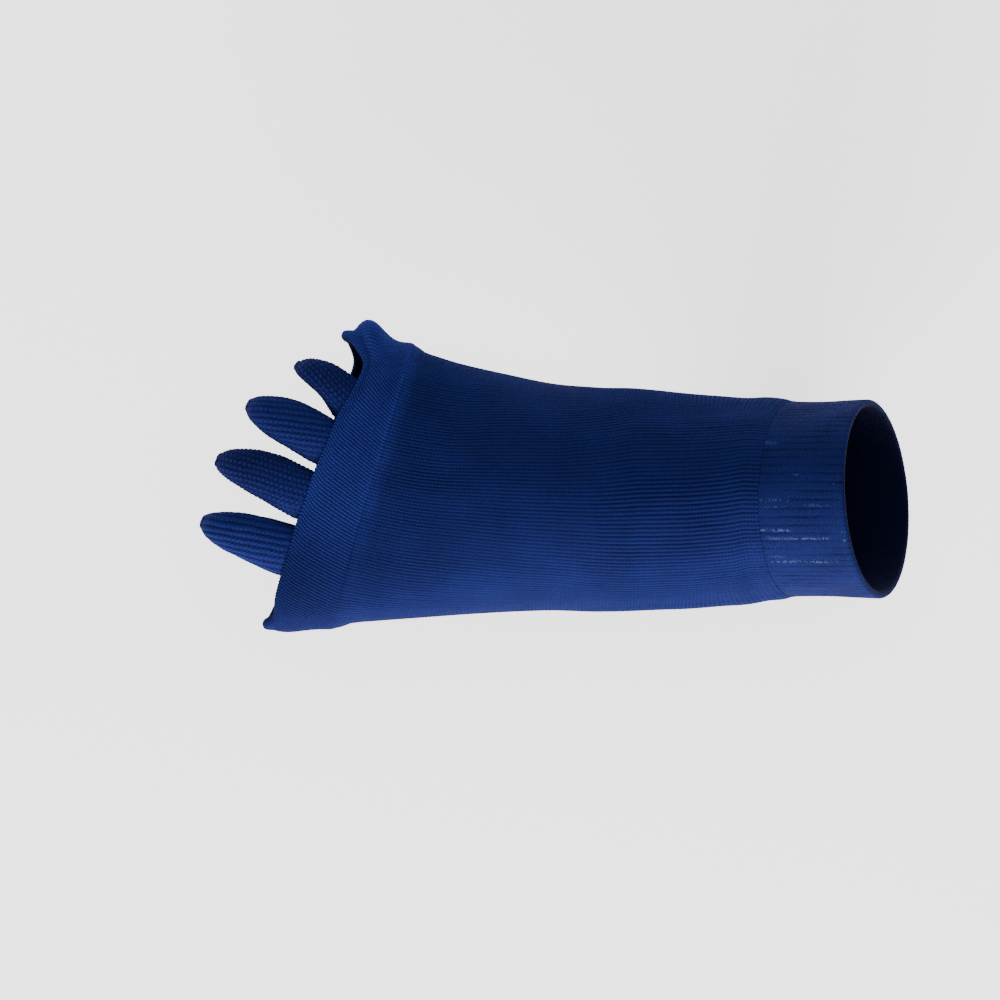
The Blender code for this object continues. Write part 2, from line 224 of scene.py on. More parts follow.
HEM_PROFILE = (
    HemPoint(0.00, 0.00, 0.0, 0.0),
    HemPoint(0.30, 0.00, 0.0, 0.0),
    HemPoint(0.55, 0.00, 0.0, 0.0),
    HemPoint(0.80, 0.00, 0.0, 0.0),
    HemPoint(1.00, -0.40, 0.0, 0.0),
    HemPoint(1.00, -0.10, 0.2, 0.1),
    HemPoint(1.00, 0.00, 0.6, 0.4),
    HemPoint(1.00, -0.12, 0.9, 0.8),
    HemPoint(1.00, -0.42, 1.0, 1.0),
    HemPoint(0.78, 0.00, 1.0, 1.0),
    HemPoint(0.56, 0.00, 1.0, 1.0),
    HemPoint(0.34, 0.00, 1.0, 1.0),
    HemPoint(0.15, 0.00, 1.0, 0.9),
    HemPoint(0.03, 0.00, 1.0, 0.6),
    HemPoint(0.00, 0.00, 1.0, 0.2),
)
HEM_NOSE = HEM_PROFILE[6]
HEM_CREST = HEM_PROFILE[8]
ROLL_SKEW = 1.6
ROLL_END = 0.85


class Separator(NamedTuple):
    """A wedge between two toes, with its place, size, heading and fullness as the model has them."""

    place: float
    width: float
    length: float
    heading: float
    little: float
    big: float


SEPARATORS = (
    Separator(-0.487, 1.00, 1.00, 18.9, 0.90, 1.05),
    Separator(-0.089, 1.01, 1.05, 21.6, 1.08, 0.92),
    Separator(0.287, 0.97, 0.96, 25.5, 1.05, 1.02),
    Separator(0.611, 0.88, 0.67, 30.8, 0.96, 0.55),
)


class WedgeRow(NamedTuple):
    """A section of a wedge: its place along, half widths to both sides, height and waist, as shares."""

    along: float
    little: float
    big: float
    height: float
    waist: float


WEDGE_ROWS = (
    WedgeRow(0.00, 0.55, 0.55, 1.00, 0.00),
    WedgeRow(0.20, 0.56, 0.52, 0.99, 0.06),
    WedgeRow(0.42, 0.56, 0.46, 0.93, 0.16),
    WedgeRow(0.64, 0.50, 0.41, 0.82, 0.32),
    WedgeRow(0.83, 0.36, 0.32, 0.68, 0.55),
    WedgeRow(0.95, 0.24, 0.22, 0.50, 0.80),
    WedgeRow(1.00, 0.13, 0.12, 0.30, 1.00),
)

# Half of a wedge's section from its top to its sole: across, up, and how far it is pinched in to the waist
WEDGE_SIDE = (
    (0.72, 0.95, 0.00),
    (1.00, 0.66, 0.00),
    (1.00, 0.32, 0.75),
    (1.00, 0.00, 1.00),
    (1.00, -0.32, 0.75),
    (1.00, -0.66, 0.00),
    (0.72, -0.95, 0.00),
)
WEDGE_RING = (
    ((0.0, 1.0, 0.0),)
    + WEDGE_SIDE
    + ((0.0, -1.0, 0.0),)
    + tuple((-across, up, pinch) for across, up, pinch in reversed(WEDGE_SIDE))
)


def blend(first, second, share):
    return first + (second - first) * share


def ramp(value, low, high):
    """0 under low, 1 over high, and a smooth step between."""
    share = np.clip((value - low) / (high - low), 0, 1)
    return share * share * (3 - 2 * share)


def wander(across, along, seed):
    """An even, repeatable unevenness from -1 to 1: a few waves of unlike lengths laid over each other."""
    total = np.zeros(np.broadcast(across, along).shape)
    for step in range(5):
        turn = seed * 1.7 + step * 2.399
        reach = 1 + 0.83 * step
        phase = seed * 5.1 + step * 1.93
        total = total + np.sin(reach * (across * math.cos(turn) + along * math.sin(turn)) + phase) / (1 + step)
    return total / 1.9


def smooth_rows(table, places):
    """Rows at places between those of a table, on smooth curves through its rows."""
    last = len(table) - 1
    start = np.clip(np.floor(places), 0, last - 1).astype(int)
    share = (places - start)[..., None]
    here, there = table[start], table[start + 1]
    before = np.where((start > 0)[..., None], table[np.maximum(start - 1, 0)], 2 * here - there)
    after = np.where((start + 2 <= last)[..., None], table[np.minimum(start + 2, last)], 2 * there - here)
    square, cube = share**2, share**3
    return (
        here * (2 * cube - 3 * square + 1)
        + (there - before) / 2 * (cube - 2 * square + share)
        + there * (3 * square - 2 * cube)
        + (after - here) / 2 * (cube - square)
    )


STATION_PLACES = np.linspace(0, MOUTH_SECTION, 6000)
STATION_DISTANCES = smooth_rows(SECTIONS, STATION_PLACES)[:, 0] * FOOT_LENGTH


def station(distance):
    """The place in SECTIONS whose top lies this far behind the toe line."""
    return np.interp(distance, STATION_DISTANCES, STATION_PLACES)


def behind_of(place):
    """How far a place's top lies behind the toe line."""
    return np.interp(place, STATION_PLACES, STATION_DISTANCES)


# How far apart the wales lie on top of the foot, at distances behind the toe line
TOP_SPACING = ((0.000, 1.06 * MM), (0.045, 1.10 * MM), (0.080, 1.24 * MM), (0.105, 1.42 * MM), (0.175, 1.42 * MM))


def top_spacing(behind):
    return np.interp(behind, *zip(*TOP_SPACING))


def skin(place, turn):
    """Points of the outer surface: place in SECTIONS, and turn in radians from the little toe side over the top."""
    place, turn = np.broadcast_arrays(np.asarray(place, float), np.asarray(turn, float))
    section = Section(*np.moveaxis(smooth_rows(SECTIONS, place), -1, 0))
    top_x = (section.along - ORIGIN_ALONG) * FOOT_LENGTH
    top_z = section.top * INSTEP_HEIGHT
    sole_x = top_x + section.fan * SEAM_OVERHANG
    sole_z = top_z - section.depth
    upper = np.sin(turn) >= 0
    power = 2 / np.where(upper, section.top_power, section.sole_power)
    up = np.abs(np.sin(turn)) ** power
    share = np.where(upper, section.belly + (1 - section.belly) * up, section.belly * (1 - up))
    across = np.sign(np.cos(turn)) * np.abs(np.cos(turn)) ** power * section.width / 2
    across = across - np.where(upper, section.ridge * section.width / 2 * up**2, 0)
    slant = np.radians(section.slant * TOE_SLANT)
    return np.stack(
        (
            blend(sole_x, top_x, share) + across * np.tan(slant),
            across + section.aside * BALL_WIDTH,
            blend(sole_z, top_z, share),
        ),
        axis=-1,
    )


def unit(vectors):
    return vectors / np.maximum(np.linalg.norm(vectors, axis=-1, keepdims=True), 1e-12)


def skin_normal(place, turn):
    """The direction straight out of the surface."""
    step = 0.01
    along = skin(place + step, turn) - skin(place - step, turn)
    around = skin(place, turn + step) - skin(place, turn - step)
    return unit(np.cross(around, along))


def band_row(turn):
    """The band's columns at turns round the foot."""
    turns = [row.turn for row in BAND_ROWS]
    ring = np.array(BAND_ROWS[-2:-1] + BAND_ROWS + BAND_ROWS[1:2])
    place = np.interp(np.degrees(turn) % 360, turns, range(len(turns)))
    return BandRow(*np.moveaxis(smooth_rows(ring, place + 1), -1, 0))


def hem(turn, corner):
    """Points of the toe band at turns, for corners of its own section given as rows of HemPoint's columns."""
    row = band_row(turn)
    corner = HemPoint(*np.moveaxis(corner, -1, 0))
    proud = row.proud * HEM_PROUD
    behind = BAND_LENGTH - BAND_LENGTH * (1 + row.forward) * corner.along - corner.ahead * (KNIT_WALL + proud)
    bulge = row.roll * HEM_ROLL * np.sin(math.pi * np.clip(corner.along, 0, ROLL_END) ** ROLL_SKEW) ** 2
    out = (corner.wall - 1) * KNIT_WALL + corner.proud * proud + bulge
    place = station(behind)
    return skin(place, turn) + skin_normal(place, turn) * out[..., None]


# Turns that lie closest together at the top, the sole and both sides, where the sections bend most
QUARTER = (1 - np.cos(math.pi * np.arange(360) / 360)) / 2
FINE_TURNS = np.append((np.arange(4)[:, None] + QUARTER).ravel(), 4) * math.pi / 2


def wale_turns(place, shares, count):
    """The turns of the wales round the section at a place, for shares of the whole ring from the top on."""
    fine = FINE_TURNS
    ring = skin(np.full_like(fine, place), fine)
    step = np.linalg.norm(np.diff(ring, axis=0), axis=1)
    middle = (fine[1:] + fine[:-1]) / 2
    crowd = step.sum() / (count * top_spacing(behind_of(place))) - 1
    run = np.concatenate(([0.0], np.cumsum(step * (1 + crowd * np.sin(middle)))))
    run = run / run[-1]
    top = np.interp(math.pi / 2, fine, run)
    return np.interp((shares - 0.25 + top) % 1, run, fine)


def surface_normals(points, closed_along):
    """Outward directions of a grid of points, whose columns go round and whose rows may too."""
    around = np.roll(points, -1, axis=1) - np.roll(points, 1, axis=1)
    if closed_along:
        along = np.roll(points, -1, axis=0) - np.roll(points, 1, axis=0)
    else:
        along = np.gradient(points, axis=0)
    return unit(np.cross(around, along))


def grid_faces(rows, columns, closed_along):
    """Four-cornered faces of a grid of points whose columns go round, with the grid place of each corner."""
    bands = rows if closed_along else rows - 1
    row, column = np.meshgrid(np.arange(bands), np.arange(columns), indexing="ij")
    corners = [(row, column), (row, column + 1), (row + 1, column + 1), (row + 1, column)]
    faces = np.stack([(r % rows) * columns + c % columns for r, c in corners], axis=-1).reshape(-1, 4)
    places = np.stack([np.stack((r, c), axis=-1) for r, c in corners], axis=2).reshape(-1, 4, 2)
    return faces, places


def knit_piece(name, points, relief, stitches, material, closed_along=True, outward=None, tints=None):
    """A knitted piece from a grid of points.

    relief: how far each point stands out, in metres
    stitches: the wale and course number of each row and column, which the yarn's pattern follows
    tints: more values for each point, by the name that the material reads
    """
    rows, columns = points.shape[:2]
    normals = surface_normals(points, closed_along)
    if outward is not None and (normals * outward).sum() < 0:
        normals = -normals
    raised = points + normals * relief[..., None]
    faces, places = grid_faces(rows, columns, closed_along)
    flat = raised.reshape(-1, 3)
    corners = flat[faces]
    volume = (corners[:, 0] * np.cross(corners[:, 1], corners[:, 2])).sum()
    volume += (corners[:, 0] * np.cross(corners[:, 2], corners[:, 3])).sum()
    if volume < 0:
        faces, places = faces[:, ::-1], places[:, ::-1]
    wale, course = stitches
    wale_at = wale[places[..., 1]] if wale.ndim == 1 else wale[places[..., 0] % rows, places[..., 1] % columns]
    course_at = course[places[..., 0]]
    caps = [] if closed_along else [list(range(columns)), list(range((rows - 1) * columns, rows * columns))]
    if volume < 0:
        caps = [cap if index else cap[::-1] for index, cap in enumerate(caps)]
    else:
        caps = [cap[::-1] if index == 0 else cap for index, cap in enumerate(caps)]
    mesh = bpy.data.meshes.new(name)
    mesh.from_pydata(flat.tolist(), [], faces.tolist() + caps)
    layer = mesh.uv_layers.new(name="knit")
    uv = np.stack((wale_at, course_at), axis=-1).reshape(-1, 2)
    spare = np.zeros((len(layer.data) - len(uv), 2))
    layer.data.foreach_set("uv", np.concatenate((uv, spare)).ravel().astype(np.float32))
    for key, values in (tints or {}).items():
        data = mesh.attributes.new(key, "FLOAT", "POINT").data
        data.foreach_set("value", np.broadcast_to(values, (rows, columns)).ravel().astype(np.float32))
    mesh.materials.append(material)
    mesh.shade_smooth()
    piece = bpy.data.objects.new(name, mesh)
    bpy.context.scene.collection.objects.link(piece)
    return piece


def srgb(code):
    """The linear colour of an sRGB hex value."""
    shares = [int(code[start:start + 2], 16) / 255 for start in (1, 3, 5)]
    return tuple(share / 12.92 if share <= 0.04045 else ((share + 0.055) / 1.055) ** 2.4 for share in shares)


def add_node(tree, kind, links=None, **settings):
    """Adds a node. links go from other nodes' outputs to its inputs, and settings are inputs' or the node's own."""
    node = tree.nodes.new(kind)
    for key, value in settings.items():
        if hasattr(node, key):
            setattr(node, key, value)
        else:
            node.inputs[key.replace("_", " ")].default_value = value
    for key, output in (links or {}).items():
        tree.links.new(output, node.inputs[key])
    return node


class SockColours(PropertyGroup):
    """Colours of the yarns and of the studio."""

    # Painted shade: the groove colour is darker than the crest colour, for the shade down between the wales
    crest: FloatVectorProperty(
        name="Yarn on the wales", description="Colour of the cotton where a wale stands out",
        subtype="COLOR", size=3, min=0, max=1, default=srgb("#18215c"),
    )
    groove: FloatVectorProperty(
        name="Yarn between wales", description="Colour of the cotton down between two wales",
        subtype="COLOR", size=3, min=0, max=1, default=srgb("#0a0b2c"),
    )
    # Partly painted shade: the inner side is darker than the knit outside, for the shade inside the sock, and the rim
    # rows blend into it as painted shade along the mouth
    inside: FloatVectorProperty(
        name="Inner side", description="Colour of the purl side that faces the foot",
        subtype="COLOR", size=3, min=0, max=1, default=srgb("#080a26"),
    )
    elastic: FloatVectorProperty(
        name="Elastic thread", description="Colour of the bare elastic that shows through the cuff",
        subtype="COLOR", size=3, min=0, max=1, default=srgb("#7080bc"),
    )
    floor: FloatVectorProperty(
        name="Floor", description="Colour of the studio floor",
        subtype="COLOR", size=3, min=0, max=1, default=srgb("#f6f6f6"),
    )


class SockSizes(PropertyGroup):
    """Sizes of the knit's relief."""

    wales: IntProperty(
        name="Wales", description="Columns of stitches round the sock", default=216, min=120, max=240,
    )
    wale_relief: FloatProperty(
        name="Wale relief", description="How far a wale stands out at the ankle",
        subtype="DISTANCE", unit="LENGTH", default=0.45 * MM, min=0, max=MM,
    )
    course: FloatProperty(
        name="Course", description="Length of one stitch along the sock",
        subtype="DISTANCE", unit="LENGTH", default=1.05 * MM, min=0.5 * MM, max=3 * MM,
    )
    wedge_relief: FloatProperty(
        name="Wedge relief", description="How far the ribs and bumps of the wedges stand out",
        subtype="DISTANCE", unit="LENGTH", default=0.42 * MM, min=0, max=MM,
    )


def cotton_knit(name, stitch_depth, fleck):
    """Combed cotton with elastane, knitted: matte loops, with painted shade between the columns and a soft halo of
    fibres.

    stitch_depth: how deep a loop lies, in metres
    fleck: how unevenly the yarn took the dye, from 0 to 1
    """
    colours = bpy.context.scene.toe_sock_colours
    material = bpy.data.materials.new(name)
    material.use_nodes = True
    tree = material.node_tree
    tree.nodes.clear()
    place = add_node(tree, "ShaderNodeTexCoord").outputs["Object"]
    stitch_map = add_node(tree, "ShaderNodeUVMap", uv_map="knit").outputs["UV"]
    split = add_node(tree, "ShaderNodeSeparateXYZ", {"Vector": stitch_map})

    def count(operation, first, second=None):
        node = add_node(tree, "ShaderNodeMath", operation=operation)
        for index, value in enumerate((first, second)):
            if isinstance(value, (int, float)):
                node.inputs[index].default_value = value
            elif value is not None:
                tree.links.new(value, node.inputs[index])
        return node.outputs[0]

    # Each stitch is a V: its two legs lean back from the middle of the wale
    leg = count("ABSOLUTE", count("SUBTRACT", count("FRACT", split.outputs["X"]), 0.5))
    climb = count("ADD", split.outputs["Y"], count("MULTIPLY", leg, 1.3))
    loop = count("ADD", count("MULTIPLY", count("SINE", count("MULTIPLY", climb, 2 * math.pi)), 0.5), 0.5)
    # Yarn hairs lie about a third of a millimetre apart, and dye clouds run over a couple of centimetres
    hairs = add_node(
        tree, "ShaderNodeTexNoise", {"Vector": place}, Scale=1 / (0.7 * MM), Detail=3.0, Roughness=0.65,
    ).outputs["Fac"]
    clouds = add_node(
        tree, "ShaderNodeTexNoise", {"Vector": place}, Scale=1 / (16 * MM), Detail=2.0, Roughness=0.5,
    ).outputs["Fac"]
    relief = add_node(tree, "ShaderNodeAttribute", attribute_name="relief").outputs["Fac"]
    inner = add_node(tree, "ShaderNodeAttribute", attribute_name="inner").outputs["Fac"]
    elastic = add_node(tree, "ShaderNodeAttribute", attribute_name="elastic").outputs["Fac"]
    pale = add_node(tree, "ShaderNodeAttribute", attribute_name="pale").outputs["Fac"]

    # Painted shade: by its relief, each point runs from the dark groove colour between the wales to the crest colour on
    # top of them; the stitch loops, flecks and dye clouds are laid over that
    lit = count("MULTIPLY", relief, count("ADD", count("MULTIPLY", loop, 0.35), 0.65))
    uneven = count("MULTIPLY", count("SUBTRACT", hairs, 0.5), 2.4 * fleck)
    tone = count("ADD", count("ADD", lit, uneven), count("MULTIPLY", count("SUBTRACT", clouds, 0.5), 0.5))
    yarn = add_node(
        tree, "ShaderNodeMix", {"Factor": count("MAXIMUM", count("MINIMUM", tone, 1.0), 0.0)}, data_type="RGBA",
    )
    yarn.inputs[6].default_value = (*colours.groove, 1)
    yarn.inputs[7].default_value = (*colours.crest, 1)
    # The yarn colour is scaled by the pale value: a fixed factor on the cuff and the wedges, and painted light over the
    # toe band on the little toe side
    yarn_tone_and_painted_light = add_node(tree, "ShaderNodeVectorMath", {"Vector": yarn.outputs[2], "Scale": pale}, operation="SCALE")
    # Painted shade, in part: points on the inner side and round the rims take the dark inside colour
    purl = add_node(tree, "ShaderNodeMix", {"Factor": inner}, data_type="RGBA")
    tree.links.new(yarn_tone_and_painted_light.outputs[0], purl.inputs[6])
    purl.inputs[7].default_value = (*colours.inside, 1)
    gaps = add_node(
        tree, "ShaderNodeMapRange", {"Value": hairs}, interpolation_type="SMOOTHSTEP", From_Min=0.46, From_Max=0.62,
    ).outputs["Result"]
    bare = count("MULTIPLY", elastic, gaps)
    thread = add_node(tree, "ShaderNodeMix", {"Factor": bare}, data_type="RGBA")
    tree.links.new(purl.outputs[2], thread.inputs[6])
    thread.inputs[7].default_value = (*colours.elastic, 1)

    height = count("ADD", count("MULTIPLY", loop, 0.7), count("MULTIPLY", hairs, 0.6))
    bump = add_node(tree, "ShaderNodeBump", {"Height": height}, Strength=1.0, Distance=stitch_depth)
    shader = add_node(
        tree, "ShaderNodeBsdfPrincipled", {"Base Color": thread.outputs[2], "Normal": bump.outputs["Normal"]},
        Roughness=0.92, Sheen_Weight=0.06, Sheen_Roughness=0.45,
    )
    shader.inputs["Specular IOR Level"].default_value = 0.06
    shader.inputs["Sheen Tint"].default_value = (*srgb("#3a4fa8"), 1)
    add_node(tree, "ShaderNodeOutputMaterial", {"Surface": shader.outputs["BSDF"]})
    return material


def wale_height(share):
    """The height of a wale across it, from 0 in the groove to 1 along its middle."""
    return np.sin(math.pi * (share % 1)) ** 0.7


def rib_height(share):
    """The height of a rib of two wales across it, with a shallow line down its middle."""
    across = share % 1
    return np.sin(math.pi * across) ** 0.5 * (1 - 0.28 * np.exp(-(((across - 0.5) / 0.09) ** 2)))


# How far the wales drift towards the little toe side near the toes
DRIFT = 6.5 * MM
DRIFT_LENGTH = 25 * MM
BAND_SLOPE = 0.55


def lie(shares, behind, count):
    """How far the wales lie over and sway at a distance behind the toe line, as a share of the ring."""
    far = DRIFT * np.exp(-np.maximum(behind - BAND_LENGTH, 0) / DRIFT_LENGTH)
    near = BAND_SLOPE * np.maximum(BAND_LENGTH - behind, 0)
    around = 2 * math.pi * shares
    sway = 0.16 * wander(4 * np.cos(around), behind / (11 * MM), 3)
    sway = sway + 0.10 * wander(9 * np.sin(around), behind / (5 * MM), 8)
    return (sway - (far + near) / top_spacing(behind)) / count


class WallRow(NamedTuple):
    """A row of a knitted wall: its place in SECTIONS, how deep it lies in the wall, and 1 if it faces out."""

    place: float
    depth: float
    faces_out: float


def wall_rows(first, last, outer_count, inner_count, wall, edge=0.0):
    """Rows up the outer side of a wall, round its rim, down its inner side and round its other rim.

    edge: how far back from the rim its rounding starts, in places of SECTIONS
    """
    start = last - edge
    outer = [WallRow(blend(first, start, index / outer_count), 0.0, 1.0) for index in range(outer_count + 1)]
    rim = [
        WallRow(start + edge * math.sin(bend), (1 - math.cos(bend)) / 2 * wall, 0.5 * (1 + math.cos(bend)))
        for bend in np.linspace(0, math.pi, 9)[1:-1]
    ]
    inner = [WallRow(blend(start, first, index / inner_count), wall, 0.0) for index in range(inner_count + 1)]
    back = [WallRow(first, share * wall, 0.5 * (1 - share)) for share in (0.75, 0.5, 0.25)]
    return outer + rim + inner + back


def wall_points(rows, wales, columns, count):
    """The points of a knitted wall and the turn of each."""
    points, turns = [], []
    shares = wales[:columns] / wales[-1]
    for row in rows:
        turn = wale_turns(row.place, shares + lie(shares, behind_of(row.place), count), count)
        points.append(skin(row.place, turn) - skin_normal(row.place, turn) * row.depth)
        turns.append(turn)
    return np.array(points), np.array(turns)


def finish_piece(piece, slot, *nodes):
    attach(piece, BODY)
    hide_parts(*nodes)


POINTS_PER_WALE = 4
SWELL_LENGTH = 6.5 * MM


def ridge(points, behind):
    """How far the knit bunches up into a soft ridge over the back of the toe band, on the little toe side."""
    return 0.6 * MM * np.exp(-(((behind - BAND_LENGTH + MM) / (3 * MM)) ** 2)) * ramp(points[..., 1], -8 * MM, 18 * MM)


def painted_band_light(points, behind):
    """Painted light, as a paleness of the knit: palest over the toe band on the little toe side, fading out behind the
    band.
    """
    fade = 1 - ramp(behind, BAND_LENGTH - 2 * MM, BAND_LENGTH + 6 * MM)
    return 1 + 0.95 * ramp(points[..., 1], -30 * MM, 4 * MM) * fade


class SOCK_OT_foot(Operator):
    """Knits the body of the sock, from the toe band over the heel to the ankle seam"""

    bl_idname = "toe_sock.foot"
    bl_label = "Foot"

    def execute(self, context):
        sizes = context.scene.toe_sock_sizes
        columns = sizes.wales * POINTS_PER_WALE
        wales = np.arange(columns + 1) / POINTS_PER_WALE
        first = station(BAND_LENGTH + JOIN)
        last = SEAM_SECTION - JOIN / (CUFF_SECTIONS[0].along * CUFF_LENGTH)
        rows = wall_rows(first, last, 86, 12, KNIT_WALL)
        points, turns = wall_points(rows, wales, columns, sizes.wales)
        behind = np.array([behind_of(row.place) for row in rows])[:, None]
        faces_out = np.array([row.faces_out for row in rows])[:, None]
        strength = blend(0.55, 1.0, ramp(behind, 0.06, 0.115))
        uneven = 1 + 0.22 * wander(7 * np.cos(turns + 0.6), behind / (9 * MM), 5)
        wale = np.floor(wales[:columns])
        groove = 0.74 + 0.22 * wander(2.1 * np.cos(41 * wale), behind / (14 * MM) + 0.6 * wale, 19)
        height = 1 - np.clip(groove, 0.4, 1) * (1 - wale_height(wales[:columns]))
        relief = (height - 0.5) * strength * uneven * sizes.wale_relief * faces_out
        # Slack folds, faint over the foot and plainer towards the ankle
        slack = wander(4 * np.cos(turns + 0.4), behind / (7 * MM), 11) * ramp(behind, 0.05, 0.13)
        relief = relief + 0.14 * MM * slack * (1 - ramp(behind, 0.138, 0.1455)) * faces_out
        # In front, the body swells up to the back of the toe band
        swell = 1 - ramp(behind, BAND_LENGTH, BAND_LENGTH + SWELL_LENGTH)
        relief = relief + (band_row(turns).proud * HEM_PROUD * swell + ridge(points, behind)) * faces_out
        courses = np.concatenate((behind[:, 0], behind[:1, 0])) / sizes.course
        # The pale tint is painted light: brighter over the toe band on the little toe side
        piece = knit_piece(
            "foot_knit", points, relief, (wales, courses), cotton_knit("Cotton elastane plain knit", 0.16 * MM, 0.34),
            tints={"relief": height, "inner": 1 - faces_out, "elastic": 0.0, "pale": painted_band_light(points, behind)},
        )
        finish_piece(piece, "body_knit", "foot_tube")
        return {"FINISHED"}


class ElasticRun(NamedTuple):
    """A stretch of bare elastic on top of the cuff: its place to the little toe side, start and end along, strength."""

    aside: float
    start: float
    end: float
    strength: float


ELASTIC_RUNS = (
    ElasticRun(-10.1 * MM, 0.01, 0.30, 1.0),
    ElasticRun(-12.7 * MM, 0.06, 0.72, 0.8),
    ElasticRun(-18.6 * MM, 0.04, 0.20, 0.6),
    ElasticRun(-20.3 * MM, 0.06, 0.74, 0.8),
    ElasticRun(-0.4 * MM, 0.02, 0.30, 0.5),
    ElasticRun(-2.6 * MM, 0.04, 0.26, 0.4),
    ElasticRun(-2.0 * MM, 0.45, 0.75, 0.4),
    ElasticRun(7.8 * MM, 0.33, 0.40, 0.9),
    ElasticRun(5.0 * MM, 0.84, 0.90, 0.7),
    ElasticRun(-10.7 * MM, 0.86, 0.96, 0.9),
    ElasticRun(-13.3 * MM, 0.90, 0.97, 0.7),
    ElasticRun(-19.2 * MM, 0.92, 0.97, 0.6),
)
ELASTIC_WIDTH = 0.3 * MM


def bare_elastic(points, share, turns):
    """How much elastic shows at each point of the cuff: the runs on top, and fainter ones all round."""
    shown = np.zeros(points.shape[:2])
    on_top = ramp(points[..., 2], 0, 0.01)
    for run in ELASTIC_RUNS:
        near = np.exp(-(((points[..., 1] - run.aside) / ELASTIC_WIDTH) ** 2))
        along = ramp(share, run.start - 0.02, run.start + 0.02) * (1 - ramp(share, run.end - 0.02, run.end + 0.02))
        shown = np.maximum(shown, near * along * on_top * run.strength)
    strand = ramp(wander(29 * np.cos(turns + 0.2), share * 0.4, 21), 0.55, 0.9)
    strand = strand * ramp(wander(6 * np.sin(turns), share * 7, 17), 0.1, 0.6)
    return np.clip(np.maximum(0.45 * shown, 0.25 * strand), 0, 1)


CUFF_RIBS_PER_WALE = 0.5
RIM_EDGE = 0.16
POINTS_PER_RIB = 8


class SOCK_OT_cuff(Operator):
    """Knits the elastic rib cuff, from the ankle seam to the mouth"""

    bl_idname = "toe_sock.cuff"
    bl_label = "Cuff"

    def execute(self, context):
        sizes = context.scene.toe_sock_sizes
        ribs = int(sizes.wales * CUFF_RIBS_PER_WALE)
        columns = ribs * POINTS_PER_RIB
        wales = np.arange(columns + 1) / POINTS_PER_RIB
        rows = wall_rows(SEAM_SECTION, MOUTH_SECTION, 44, 18, CUFF_WALL, RIM_EDGE)
        points, turns = wall_points(rows, wales, columns, sizes.wales)
        place = np.array([row.place for row in rows])
        share = ((place - SEAM_SECTION) / (MOUTH_SECTION - SEAM_SECTION))[:, None]
        faces_out = np.array([row.faces_out for row in rows])[:, None]
        # No two ribs are drawn in alike, and each changes along its run
        rib = np.round(wales[:columns])
        groove = 0.42 + 0.36 * wander(2.3 * np.cos(37 * rib), share * 5 + 0.7 * rib, 12)
        height = 1 - np.clip(groove, 0.08, 0.85) * (1 - rib_height(wales[:columns]))
        relief = (height - 0.7) * 0.9 * sizes.wale_relief * faces_out
        relief = relief + 0.2 * MM * wander(5 * np.cos(turns + 0.3), share * 4, 14) * faces_out * share * (1 - share)
        behind = behind_of(place)
        courses = np.concatenate((behind, behind[:1])) / (0.8 * sizes.course)
        piece = knit_piece(
            "cuff_knit", points, relief, (2 * wales, courses), cotton_knit("Cotton elastane rib knit", 0.2 * MM, 0.5),
            tints={
                "relief": height,
                "inner": 1 - faces_out,
                "elastic": bare_elastic(points, share, turns) * faces_out,
                "pale": 0.86,
            },
        )
        finish_piece(piece, "cuff_knit", "cuff")
        return {"FINISHED"}


ROWS_PER_HEM_POINT = 5

# The band's back edge stands as high as the body's front edge, so that the knit runs on over both
HEM_END = (
    HemPoint(0.16, 0.00, 1.0, 1.0),
    HemPoint(0.00, 0.00, 1.0, 1.0),
    HemPoint(0.00, 0.00, 0.9, 0.6),
    HemPoint(0.00, 0.00, 0.5, 0.0),
)


class SOCK_OT_band(Operator):
    """Knits the doubled band round the roots of the toes"""

    bl_idname = "toe_sock.band"
    bl_label = "Toe band"

    def execute(self, context):
        sizes = context.scene.toe_sock_sizes
        columns = sizes.wales * POINTS_PER_WALE
        wales = np.arange(columns + 1) / POINTS_PER_WALE
        profile = np.array(HEM_PROFILE[:-3] + HEM_END)
        ring = np.concatenate((profile[-1:], profile, profile[:2]))
        places = 1 + np.arange(len(profile) * ROWS_PER_HEM_POINT) / ROWS_PER_HEM_POINT
        corners = smooth_rows(ring, places)
        behind = BAND_LENGTH * (1 - corners[:, 0])
        shares = wales[:columns] / wales[-1]
        place = station(BAND_LENGTH)
        turns = np.array(
            [wale_turns(place, shares + lie(shares, distance, sizes.wales), sizes.wales) for distance in behind]
        )
        points = hem(turns, np.broadcast_to(corners[:, None, :], (*turns.shape, 4)))
        faces_out = ramp(corners[:, 2], 0.1, 0.6)[:, None]
        height = wale_height(wales[:columns])
        uneven = 1 + 0.22 * wander(7 * np.cos(turns + 0.6), behind[:, None] / (9 * MM), 5)
        relief = (height - 0.5) * 0.55 * uneven * sizes.wale_relief * faces_out
        relief = relief + ridge(points, behind[:, None]) * faces_out
        run = np.linalg.norm(np.diff(points, axis=0, append=points[:1]), axis=2).mean(axis=1)
        courses = np.concatenate(([0.0], np.cumsum(run))) / sizes.course
        # The pale tint is painted light: brighter on the little toe side of the band
        piece = knit_piece(
            "toe_band_knit", points, relief, (wales, courses), cotton_knit("Cotton doubled hem knit", 0.18 * MM, 0.40),
            tints={"relief": height, "inner": 1 - faces_out, "elastic": 0.0, "pale": painted_band_light(points, 0.0)},
        )
        finish_piece(piece, "band_knit", "toe_band")
        return {"FINISHED"}


def lip_line(start, end):
    """The band's lip between two turns, as rows of place towards the little toe, place along, and height."""
    turns = np.radians(np.linspace(start, end, 25))
    nose = hem(turns, np.broadcast_to(np.array(HEM_NOSE), (len(turns), 4)))
    crest = hem(turns, np.broadcast_to(np.array(HEM_CREST), (len(turns), 4)))
    line = np.stack((nose[:, 1], nose[:, 0], crest[:, 2]), axis=1)
    return line[line[:, 0].argsort()]


